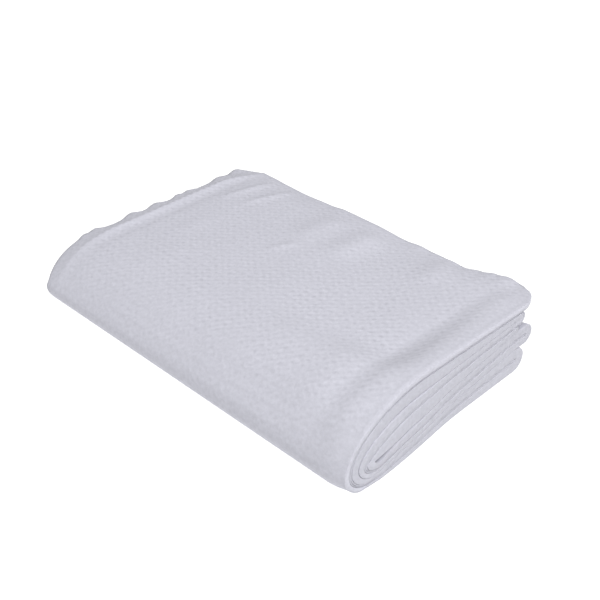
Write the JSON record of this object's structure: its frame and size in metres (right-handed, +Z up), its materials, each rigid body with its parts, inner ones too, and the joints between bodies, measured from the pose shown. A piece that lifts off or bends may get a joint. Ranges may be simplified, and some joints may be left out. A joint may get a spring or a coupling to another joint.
{
  "type": "folded crochet bedspread",
  "caption": "Thick white crochet bedspread, folded crosswise and lengthwise into a flat pack with one round side, a plump folded end and a wavy hem.",
  "frame": {"origin": "centre of the bounding box's underside, on the surface that the pack lies on", "axes": "+X along the pack towards its plump folded end, +Y across it towards the lobed back side, +Z up"},
  "size_m": [0.5442, 0.3698, 0.0993],
  "materials": {
    "crochet_cotton": "matt textured cotton"
  },
  "bodies": {
    "root": {"bedspread": "crochet_cotton"}
  },
  "joints": []
}
